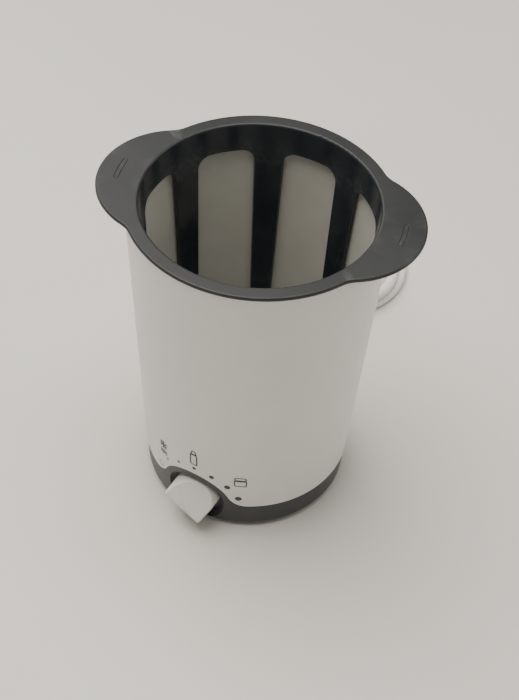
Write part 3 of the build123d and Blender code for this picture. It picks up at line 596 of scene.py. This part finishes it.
# ---------------------------------------------------------------- studio
@dataclass
class Studio:
    """Pale floor, soft overhead light and the camera.

    Attributes:
        camera_place: Where the camera stands.
        camera_right: Direction of the camera's right side.
        camera_down: Direction of the camera's underside.
        camera_ahead: Direction the camera looks.
        focal: Focal length in millimetres on a 36 mm sensor.
    """

    camera_place: Point = (0.19982, -0.37899, 0.52643)
    camera_right: Point = (0.864305, 0.500970, 0.044791)
    camera_down: Point = (0.393765, -0.618556, -0.679954)
    camera_ahead: Point = (-0.312931, 0.605325, -0.731885)
    focal: float = 76.06

    def camera(self) -> None:
        """Makes the camera and gives it to the scene."""
        data = bpy.data.cameras.new("camera")
        data.lens = self.focal
        data.sensor_width = 36.0
        data.clip_start = 0.01
        data.clip_end = 20.0
        made = bpy.data.objects.new("camera", data)
        bpy.context.scene.collection.objects.link(made)
        axes = Matrix((self.camera_right,
                       tuple(-v for v in self.camera_down),
                       tuple(-v for v in self.camera_ahead))).transposed()
        made.matrix_world = Matrix.Translation(self.camera_place) @ axes.to_4x4()
        bpy.context.scene.camera = made

    def floor(self) -> None:
        """Makes a large flat paper floor with a faint mottle."""
        bm = bmesh.new()
        bmesh.ops.create_grid(bm, x_segments=8, y_segments=8, size=3.0)
        mesh = mesh_from(bm, "paper_floor")
        made = bpy.data.materials.new("floor_paper")
        made.use_nodes = True
        nodes = Nodes(made.node_tree)
        shader = made.node_tree.nodes["Principled BSDF"]
        where = nodes.add("TexCoord").outputs["Object"]
        mottle = nodes.ramp(nodes.noise(where, 5.0, 3.0, 0.5), 0.25, 0.75)
        nodes.wire(nodes.blend(mottle, (0.70, 0.68, 0.645), (0.73, 0.71, 0.675)), shader.inputs["Base Color"])
        shader.inputs["Roughness"].default_value = 0.42
        shader.inputs["Specular IOR Level"].default_value = 0.35
        link(mesh, "floor", made)

    def lights(self) -> None:
        """Makes the soft top light, two weaker side lights and the pale surroundings."""
        for title, place, aim, size, watts, tint in (
            ("top_softbox", (-0.25, 0.0, 1.2), (0.0, -0.1, 0.0), 1.2, 20.5, (1.0, 0.955, 0.885)),
            ("left_softbox", (-1.0, 0.6, 0.8), (0.0, 0.0, 0.07), 0.8, 3.5, (1.0, 0.965, 0.91)),
            ("right_softbox", (0.9, 0.75, 0.7), (0.0, 0.0, 0.07), 0.7, 2.5, (1.0, 0.965, 0.91)),
        ):
            data = bpy.data.lights.new(title, "AREA")
            data.shape = "DISK"
            data.size = size
            data.energy = watts
            data.color = tint
            lamp = bpy.data.objects.new(title, data)
            bpy.context.scene.collection.objects.link(lamp)
            lamp.location = place
            direction = Vector(aim) - Vector(place)
            lamp.rotation_euler = direction.to_track_quat("-Z", "Y").to_euler()
        world = bpy.data.worlds.new("surroundings")
        world.use_nodes = True
        sky = world.node_tree.nodes["Background"]
        sky.inputs["Color"].default_value = (1.0, 0.965, 0.905, 1.0)
        sky.inputs["Strength"].default_value = 0.36
        bpy.context.scene.world = world

    def build(self) -> None:
        """Makes the floor and the lights."""
        self.floor()
        self.lights()


# ---------------------------------------------------------------- mains cord
@dataclass
class MainsCord:
    """Free mains cord with its coil, tie, strain relief and plug.

    Attributes:
        diameter: Diameter of the cord.
        length: Real length of the free cord; not used.
        lead: Points from the strain relief to the coil.
        tail: Points from the coil to the plug.
        centre: Middle of the coil on the table.
        turn_radii: Radii of the coil's turns from the outside in.
        layer_heights: Heights of the two layers of turns.
        points_per_turn: Control points in one turn.
        coil_start: Direction from the coil's middle to where the cord comes in, in degrees.
        first_travel: Travel in degrees of the coil's first control point.
        band_gap: Space between the tie band and the turns.
        band_thickness: Thickness of the tie band.
        band_angle: Direction from the coil's middle to the tie band, in degrees.
        band_half_angle: Half the band's width, in degrees round the coil.
    """

    diameter: float = 0.0052
    length: float = 1.0
    lead: tuple[Point, ...] = (
        (0.0, 0.055, 0.009), (0.0, 0.0692, 0.0066), (-0.0065, 0.0824, 0.0042), (-0.018, 0.0919, 0.0027),
    )
    tail: tuple[Point, ...] = (
        (-0.0375, 0.0944, 0.007), (-0.0515, 0.0982, 0.0044), (-0.0625, 0.1076, 0.0028),
        (-0.0686, 0.1208, 0.0046), (-0.070, 0.134, 0.007),
    )
    centre: tuple[float, float] = (-0.0215, 0.128)
    turn_radii: tuple[float, float, float] = (0.0336, 0.0283, 0.0230)
    layer_heights: tuple[float, float] = (0.0027, 0.0080)
    points_per_turn: int = 18
    coil_start: float = 248.0
    first_travel: float = 12.0
    band_gap: float = 0.00005
    band_thickness: float = 0.0007
    band_angle: float = 160.0
    band_half_angle: float = 3.2

    def coil_spots(self) -> list[tuple[float, float, float]]:
        """Places along the coil as travel in degrees, radius and height.

        Returns:
            Corner places between which radius and height change evenly.
        """
        outer, middle, inner = self.turn_radii
        low, high = self.layer_heights
        return [
            (0.0, outer, low), (300.0, outer, low), (360.0, middle, low), (660.0, middle, low),
            (720.0, inner, low), (990.0, inner, low), (1045.0, inner, high), (1300.0, inner, high),
            (1350.0, middle, high), (1660.0, middle, high), (1710.0, outer, high), (1784.0, outer, high),
        ]

    def coil_points(self) -> list[Point]:
        """Control points of the turns, clockwise from where the cord comes in.

        Returns:
            Points in the row frame.
        """
        spots = self.coil_spots()
        step = 360.0 / self.points_per_turn
        swell = 1.0 / (0.75 + 0.25 * math.cos(math.radians(step)))
        points: list[Point] = []
        travel = self.first_travel
        while travel < spots[-1][0] - 0.35 * step:
            for (t0, r0, z0), (t1, r1, z1) in zip(spots, spots[1:]):
                if t0 <= travel <= t1:
                    part = (travel - t0) / (t1 - t0)
                    eased = part * part * (3 - 2 * part)
                    radius = (r0 + (r1 - r0) * eased) * swell
                    height = z0 + (z1 - z0) * eased
                    break
            angle = math.radians(self.coil_start - travel)
            points.append((self.centre[0] + radius * math.cos(angle),
                           self.centre[1] + radius * math.sin(angle), height))
            travel += step
        return points

    def curve(self, material: bpy.types.Material) -> bpy.types.Object:
        """Makes the cord as one smooth spline.

        Args:
            material: The cord's finish.

        Returns:
            The curve object.
        """
        points = [*self.lead, *self.coil_points(), *self.tail]
        data = bpy.data.curves.new("mains_cord_line", "CURVE")
        data.dimensions = "3D"
        data.resolution_u = 10
        data.bevel_depth = self.diameter / 2
        data.bevel_resolution = 5
        data.use_fill_caps = True
        spline = data.splines.new("NURBS")
        spline.points.add(len(points) - 1)
        for place, point in zip(spline.points, points):
            place.co = (*point, 1.0)
        spline.order_u = 3
        spline.use_endpoint_u = True
        return link(data, "flex_cord", material)

    def tie(self, material: bpy.types.Material) -> bpy.types.Object:
        """Makes the band round the bundle, snug to the turns under it.

        Args:
            material: The band's finish.

        Returns:
            The band.
        """
        outer, middle, inner = self.turn_radii
        low, high = self.layer_heights
        strands = [(outer, low), (middle, low), (inner, low), (inner, high), (middle, high)]
        reach = self.diameter / 2 + self.band_gap
        ring_in: list[tuple[float, float]] = []
        ring_out: list[tuple[float, float]] = []
        for turn in range(72):
            angle = 2 * math.pi * turn / 72
            way = (math.cos(angle), math.sin(angle))
            best = max(strands, key=lambda s: s[0] * way[0] + s[1] * way[1])
            ring_in.append((best[0] + way[0] * reach, max(0.0001, best[1] + way[1] * reach)))
            ring_out.append((best[0] + way[0] * (reach + self.band_thickness),
                             max(0.00005, best[1] + way[1] * (reach + self.band_thickness))))
        bm = bmesh.new()
        middle_angle = math.radians(self.band_angle)
        half = math.radians(self.band_half_angle)
        loops: list[list[bmesh.types.BMVert]] = []
        for step in range(7):
            angle = middle_angle - half + 2 * half * step / 6
            for ring in (ring_in, ring_out):
                across, along = math.cos(angle), math.sin(angle)
                loops.append([
                    bm.verts.new((self.centre[0] + r * across, self.centre[1] + r * along, z))
                    for r, z in ring
                ])
        count = len(ring_in)
        for step in range(6):
            for layer in (0, 1):
                a, b = loops[2 * step + layer], loops[2 * step + 2 + layer]
                for i in range(count):
                    j = (i + 1) % count
                    bm.faces.new((a[i], a[j], b[j], b[i]))
        for first, second in ((loops[0], loops[1]), (loops[-2], loops[-1])):
            for i in range(count):
                j = (i + 1) % count
                bm.faces.new((first[i], first[j], second[j], second[i]))
        bmesh.ops.remove_doubles(bm, verts=bm.verts, dist=0.00001)
        return link(mesh_from(bm, "tie_band"), "tie_band", material)

    def build(self) -> None:
        cord_finish = Plastic("cord_white", (0.78, 0.775, 0.75), (0.74, 0.735, 0.71), rough=(0.38, 0.5),
                              grain_scale=1800.0, bump=0.02, edge=0.0, dust=0.2, subsurface=0.1).build()
        band_finish = Plastic("tie_band_white", (0.8, 0.8, 0.78), (0.76, 0.76, 0.74), rough=(0.4, 0.5),
                              edge=0.1).build()
        # The plug's whiter edge_colour paints a highlight along its edges.
        plug_finish = Plastic("plug_white", (0.78, 0.775, 0.75), (0.74, 0.735, 0.71), rough=(0.34, 0.46),
                              grain_scale=2200.0, bump=0.03, edge=0.2, edge_colour=(0.85, 0.85, 0.83)).build()
        pin_finish = Metal("pin_nickel", (0.78, 0.76, 0.72), (0.68, 0.66, 0.6), rough=(0.14, 0.26),
                           stretch=(1500.0, 100.0, 1500.0)).build()
        flex = self.curve(cord_finish)
        band = self.tie(band_finish)
        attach(flex, Body.WARMER.value)
        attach(band, Body.WARMER.value)
        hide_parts("mains_cord", "cord_coil", "cord_tail")
        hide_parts("cord_tie")
        dress(plug_finish, "plug_body")
        dress(pin_finish, "plug_pins")
        dress(cord_finish, "strain_relief", "inner_lead")
        LOG.info("cord: %d control points", len(flex.data.splines[0].points))


# ---------------------------------------------------------------- housing
@dataclass
class Housing:
    """White tapered housing and the printed dial marks on it.

    Attributes:
        foot_radius: Radius of the cone at the table.
        slope: Growth of the radius with height.
        lift: Height of the ink above the surface.
        dial_height: Height of the dial's middle.
        mark_circle: Radius of the circle of dots.
        mark_shift: Arc length from the front line to the middle of that circle.
        dot_marks: Place on the circle in degrees and radius of each dot, smallest first.
        off_angle: Place of the off ring on the circle in degrees.
        off_radius: Radius of the off ring.
        off_line: Width of the off ring's line.
    """

    foot_radius: float = 0.04424
    slope: float = 0.0536
    lift: float = 0.00004
    dial_height: float = 0.0136
    mark_circle: float = 0.0212
    mark_shift: float = 0.00045
    dot_marks: tuple[tuple[float, float], ...] = (
        (-45.0, 0.0006), (-22.5, 0.00075), (0.0, 0.0009), (22.5, 0.00115), (45.0, 0.00135), (69.0, 0.00148),
    )
    off_angle: float = -71.0
    off_radius: float = 0.0013
    off_line: float = 0.00045

    def on_cone(self, across: float, height: float, above: float = 0.0) -> Vector:
        """Point on the cone at an arc length from the front line.

        Args:
            across: Arc length to the right of the front line.
            height: Height above the table.
            above: Distance out of the surface.

        Returns:
            The point.
        """
        radius = self.foot_radius + self.slope * height
        angle = across / radius
        reach = radius + above
        return Vector((reach * math.sin(angle), -reach * math.cos(angle), height))

    def patch(self, bm: bmesh.types.BMesh, outline: Sequence[tuple[float, float]], rings: int = 3) -> None:
        """Adds a filled convex ink shape.

        Args:
            bm: Mesh that takes it.
            outline: Points across and up, in metres.
            rings: Rings of faces between the middle and the outline.
        """
        mid_a = sum(p[0] for p in outline) / len(outline)
        mid_z = sum(p[1] for p in outline) / len(outline)
        centre = bm.verts.new(self.on_cone(mid_a, mid_z, self.lift))
        loops: list[list[bmesh.types.BMVert]] = []
        for ring in range(1, rings + 1):
            part = ring / rings
            loops.append([
                bm.verts.new(self.on_cone(mid_a + (a - mid_a) * part, mid_z + (z - mid_z) * part, self.lift))
                for a, z in outline
            ])
        count = len(outline)
        for i in range(count):
            j = (i + 1) % count
            bm.faces.new((centre, loops[0][i], loops[0][j]))
            for inner, outer in zip(loops, loops[1:]):
                bm.faces.new((inner[i], outer[i], outer[j], inner[j]))

    def stroke(self, bm: bmesh.types.BMesh, line: Sequence[tuple[float, float]], width: float,
               closed: bool = False) -> None:
        """Adds an ink line of even width.

        Args:
            bm: Mesh that takes it.
            line: Points across and up, in metres.
            width: Width of the line.
            closed: Whether the last point joins the first.
        """
        points = [Vector((a, z, 0.0)) for a, z in line]
        count = len(points)
        pairs: list[tuple[bmesh.types.BMVert, bmesh.types.BMVert]] = []
        for i, point in enumerate(points):
            before = points[(i - 1) % count] if closed or i else point
            after = points[(i + 1) % count] if closed or i < count - 1 else point
            ways = [w.normalized() for w in (point - before, after - point) if w.length > 1e-9]
            along = sum(ways, Vector()).normalized()
            side = Vector((-along.y, along.x, 0.0))
            stretch = 1.0 / max(0.5, abs(side.dot(Vector((-ways[0].y, ways[0].x, 0.0)))))
            offset = side * (width / 2 * stretch)
            pairs.append((
                bm.verts.new(self.on_cone(point.x + offset.x, point.y + offset.y, self.lift)),
                bm.verts.new(self.on_cone(point.x - offset.x, point.y - offset.y, self.lift)),
            ))
        last = count if closed else count - 1
        for i in range(last):
            (a, b), (c, d) = pairs[i], pairs[(i + 1) % count]
            bm.faces.new((a, b, d, c))

    def ring(self, angle: float, radius: float) -> list[tuple[float, float]]:
        """Outline of a round mark on the circle of marks.

        Args:
            angle: Place on the circle in degrees from the top, clockwise.
            radius: Radius of the mark.

        Returns:
            Points across and up.
        """
        turn = math.radians(angle)
        across = self.mark_shift + self.mark_circle * math.sin(turn)
        height = self.dial_height + self.mark_circle * math.cos(turn)
        steps = [2 * math.pi * k / 24 for k in range(24)]
        return [(across + radius * math.cos(t), height + radius * math.sin(t)) for t in steps]

    def dots(self, bm: bmesh.types.BMesh) -> None:
        """Adds the row of dots that grow with the setting."""
        for angle, radius in self.dot_marks:
            self.patch(bm, self.ring(angle, radius), rings=2)

    def off_ring(self, bm: bmesh.types.BMesh) -> None:
        """Adds the ring that marks the off setting."""
        self.stroke(bm, self.ring(self.off_angle, self.off_radius), self.off_line, closed=True)

    def bottle_sign(self, bm: bmesh.types.BMesh) -> None:
        """Adds the pictogram of a feeding bottle."""
        a, z = 0.0003, 0.0375
        body = [(-1.5, 0.3), (-1.5, 6.0), (-1.2, 6.5), (1.2, 6.5), (1.5, 6.0), (1.5, 0.3), (1.2, 0.0),
                (-1.2, 0.0)]
        self.stroke(bm, [(a + x * MM, z + y * MM) for x, y in body], 0.00065, closed=True)
        self.stroke(bm, [(a + x * MM, z + 6.9 * MM) for x in (-1.6, 0.0, 1.6)], 0.0009)
        teat = [(-1.1, 7.3), (-1.0, 8.2), (-0.6, 9.0), (0.0, 9.3), (0.6, 9.0), (1.0, 8.2), (1.1, 7.3)]
        self.stroke(bm, [(a + x * MM, z + y * MM) for x, y in teat], 0.0006)

    def jar_sign(self, bm: bmesh.types.BMesh) -> None:
        """Adds the pictogram of a jar of food."""
        a, z = 0.0211, 0.0304
        glass = [(-2.5, 0.5), (-2.5, 3.7), (2.5, 3.7), (2.5, 0.5), (2.1, 0.0), (-2.1, 0.0)]
        self.stroke(bm, [(a + x * MM, z + y * MM) for x, y in glass], 0.00055, closed=True)
        self.stroke(bm, [(a + x * MM, z + 3.75 * MM) for x in (-2.3, 0.0, 2.3)], 0.0012)
        lid = [(-2.4, 4.2), (-2.4, 5.3), (-1.9, 5.7), (1.9, 5.7), (2.4, 5.3), (2.4, 4.2)]
        self.stroke(bm, [(a + x * MM, z + y * MM) for x, y in lid], 0.00055)

    def thaw_sign(self, bm: bmesh.types.BMesh) -> None:
        """Adds the pictogram of a snow crystal over two waves."""
        a, z = -0.0172, 0.0362
        for arm in range(3):
            turn = math.radians(90 + 60 * arm)
            way = (math.cos(turn), math.sin(turn))
            reaches = (-2.6, -1.3, 0.0, 1.3, 2.6)
            self.stroke(bm, [(a + way[0] * r * MM, z + way[1] * r * MM) for r in reaches], 0.0007)
        for arm in range(6):
            turn = math.radians(30 + 60 * arm)
            base = (a + math.cos(turn) * 1.4 * MM, z + math.sin(turn) * 1.4 * MM)
            for side in (-1, 1):
                off = turn + side * math.radians(50)
                tip = (base[0] + math.cos(off) * MM, base[1] + math.sin(off) * MM)
                self.stroke(bm, [base, tip], 0.00055)
        for drop in (4.1, 5.6):
            wave = [(x, -drop + 0.45 * math.sin(2.1 * x)) for x in (-2.2, -1.5, -0.75, 0.0, 0.75, 1.5, 2.2)]
            self.stroke(bm, [(a + x * MM, z + y * MM) for x, y in wave], 0.0008)

    def build(self) -> None:
        """Makes and dresses the housing and its printed marks."""
        white = Plastic("shell_white", (0.80, 0.795, 0.765), (0.78, 0.775, 0.745), rough=(0.3, 0.37),
                        grain_scale=2400.0, grain_depth=0.5, wave_depth=0.9, bump=0.02, dust=0.1, edge=0.0,
                        edge_radius=0.35, subsurface=0.06).build()
        dress(white, "housing_shell")
        ink = PrintedInk("dial_ink", (0.028, 0.029, 0.031), (0.06, 0.062, 0.065)).build()
        pale = PrintedInk("pale_ink", (0.33, 0.33, 0.31), (0.42, 0.42, 0.40)).build()
        groups = (
            ("dial_dots", self.dots, ink),
            ("off_mark", self.off_ring, pale),
            ("bottle_sign", self.bottle_sign, ink),
            ("jar_sign", self.jar_sign, ink),
            ("thaw_sign", self.thaw_sign, ink),
        )
        for title, maker, ink_kind in groups:
            bm = bmesh.new()
            maker(bm)
            piece = link(mesh_from(bm, title), title, ink_kind)
            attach(piece, Body.WARMER.value)
        LOG.info("housing: shell and five groups of printed marks")


# ---------------------------------------------------------------- basket, base, knob
@dataclass
class Basket:
    """Lift-out black basket with its satin rim."""

    def build(self) -> None:
        """Dresses the basket."""
        finish = TwoToneMoulding("basket_black", (0.010, 0.012, 0.0135), (0.020, 0.025, 0.032),
                                 face_height=0.150).build()
        dress(finish, "basket")
        LOG.info("basket: rim, ears, ribs and floor")


@dataclass
class Base:
    """Dark base with the dial dish, its feet and screws."""

    def build(self) -> None:
        """Dresses the base."""
        # The lighter edge_colour paints a highlight along the base's edges and dish ridges.
        grey = Plastic("base_grey", (0.028, 0.033, 0.037), (0.034, 0.038, 0.043), rough=(0.36, 0.46),
                       grain_scale=3000.0, bump=0.014, dust=0.15, edge=0.2, edge_colour=(0.12, 0.125, 0.13),
                       edge_radius=0.3).build()
        rubber = Plastic("foot_rubber", (0.02, 0.02, 0.021), (0.03, 0.03, 0.031), rough=(0.7, 0.85),
                         grain_scale=1500.0, bump=0.04, edge=0.2).build()
        zinc = Metal("screw_zinc", (0.62, 0.62, 0.6), (0.5, 0.49, 0.45), rough=(0.25, 0.4),
                     stretch=(900.0, 900.0, 900.0)).build()
        dress(grey, "base_cover")
        dress(rubber, "rubber_feet")
        dress(zinc, "base_screws", "board_screws", "bracket_screws", "switch_screws", "clamp_screws")
        LOG.info("base: cover, feet and screws")


@dataclass
class Knob:
    """White bar knob on its spindle."""

    def build(self) -> None:
        """Dresses the knob, its spindle and the switch."""
        # The whiter edge_colour paints a highlight along the grip's edges.
        white = Plastic("knob_white", (0.78, 0.78, 0.735), (0.75, 0.75, 0.705), rough=(0.24, 0.32),
                        grain_depth=0.4, wave_depth=0.8, bump=0.015, dust=0.1, edge=0.1,
                        edge_colour=(0.9, 0.9, 0.88), edge_radius=0.3, subsurface=0.08).build()
        steel = Metal("spindle_steel", (0.6, 0.6, 0.6), (0.5, 0.5, 0.48),
                      stretch=(1200.0, 100.0, 1200.0)).build()
        black = Plastic("switch_black", (0.03, 0.03, 0.03), (0.04, 0.04, 0.04), rough=(0.45, 0.6)).build()
        dress(white, "control_knob")
        dress(steel, "knob_spindle")
        dress(black, "rotary_switch")
        LOG.info("knob: grip, spindle and switch")


@dataclass
class HeatingDeck:
    """Water chamber with the heater under it."""

    def build(self) -> None:
        """Dresses the chamber and the heater's parts."""
        # Darker copy of the white plastic: painted shade inside the basket; the lighter edge_colour paints a
        # highlight on its edges.
        tub = Plastic("chamber_white_painted_shade", (0.60, 0.595, 0.54), (0.57, 0.56, 0.505), rough=(0.42, 0.52),
                      grain_scale=2200.0, bump=0.02, dust=0.15, edge=0.1,
                      edge_colour=(0.8, 0.8, 0.78)).build()
        plate = Metal("plate_steel", (0.62, 0.62, 0.61), (0.52, 0.51, 0.48), rough=(0.22, 0.4),
                      stretch=(120.0, 1600.0, 1600.0)).build()
        sheet = Metal("bracket_sheet", (0.56, 0.56, 0.55), (0.46, 0.45, 0.42), rough=(0.3, 0.45)).build()
        case = Metal("heater_aluminium", (0.75, 0.75, 0.76), (0.66, 0.66, 0.66), rough=(0.3, 0.42)).build()
        silicone = Plastic("seal_silicone", (0.45, 0.12, 0.07), (0.4, 0.1, 0.06), rough=(0.5, 0.62)).build()
        dress(tub, "chamber_tub")
        dress(plate, "heater_plate", "temperature_sensor")
        dress(sheet, "heater_bracket")
        dress(case, "ptc_heater", "thermal_fuse", "heat_shield")
        dress(silicone, "plate_seal")
        LOG.info("heating deck: chamber, plate, bracket, heater and seal")


@dataclass
class ControlBoard:
    """Circuit board with its components, wires and cord clamp."""

    def build(self) -> None:
        """Dresses the board, its components and the wiring."""
        green = Plastic("board_green", (0.02, 0.12, 0.05), (0.015, 0.09, 0.04), rough=(0.25, 0.35),
                        grain_scale=900.0, bump=0.03).build()
        blue = Plastic("relay_blue", (0.02, 0.08, 0.3), (0.02, 0.07, 0.26), rough=(0.3, 0.4)).build()
        yellow = Plastic("film_yellow", (0.6, 0.38, 0.03), (0.55, 0.34, 0.03), rough=(0.28, 0.36)).build()
        sleeve = Plastic("capacitor_sleeve", (0.02, 0.02, 0.03), (0.03, 0.03, 0.04),
                         rough=(0.25, 0.35)).build()
        terminal = Plastic("terminal_green", (0.04, 0.2, 0.08), (0.03, 0.17, 0.07), rough=(0.4, 0.5)).build()
        brown = Plastic("wire_brown", (0.12, 0.05, 0.02), (0.1, 0.04, 0.02), rough=(0.4, 0.5)).build()
        pale = Plastic("wire_white", (0.7, 0.7, 0.68), (0.66, 0.66, 0.64), rough=(0.4, 0.5)).build()
        clamp = Plastic("clamp_white", (0.72, 0.72, 0.7), (0.68, 0.68, 0.66), rough=(0.4, 0.5)).build()
        dress(green, "control_board")
        dress(blue, "power_relay")
        dress(yellow, "film_capacitor")
        dress(sleeve, "smoothing_capacitor")
        dress(terminal, "terminal_block")
        dress(brown, "supply_wires", "switch_wires")
        dress(pale, "heater_wires", "sensor_wires")
        dress(clamp, "cord_clamp")
        LOG.info("board: components, wires and clamp")


def main() -> None:
    """Builds the scene in order and reports each part."""
    logging.basicConfig(level=logging.INFO, format="%(name)s %(message)s")
    studio = Studio()
    studio.camera()
    for assembly in (MainsCord(), Housing(), Base(), Knob(), Basket(), HeatingDeck(), ControlBoard(), studio):
        assembly.build()


if __name__ == "__main__":
    main()
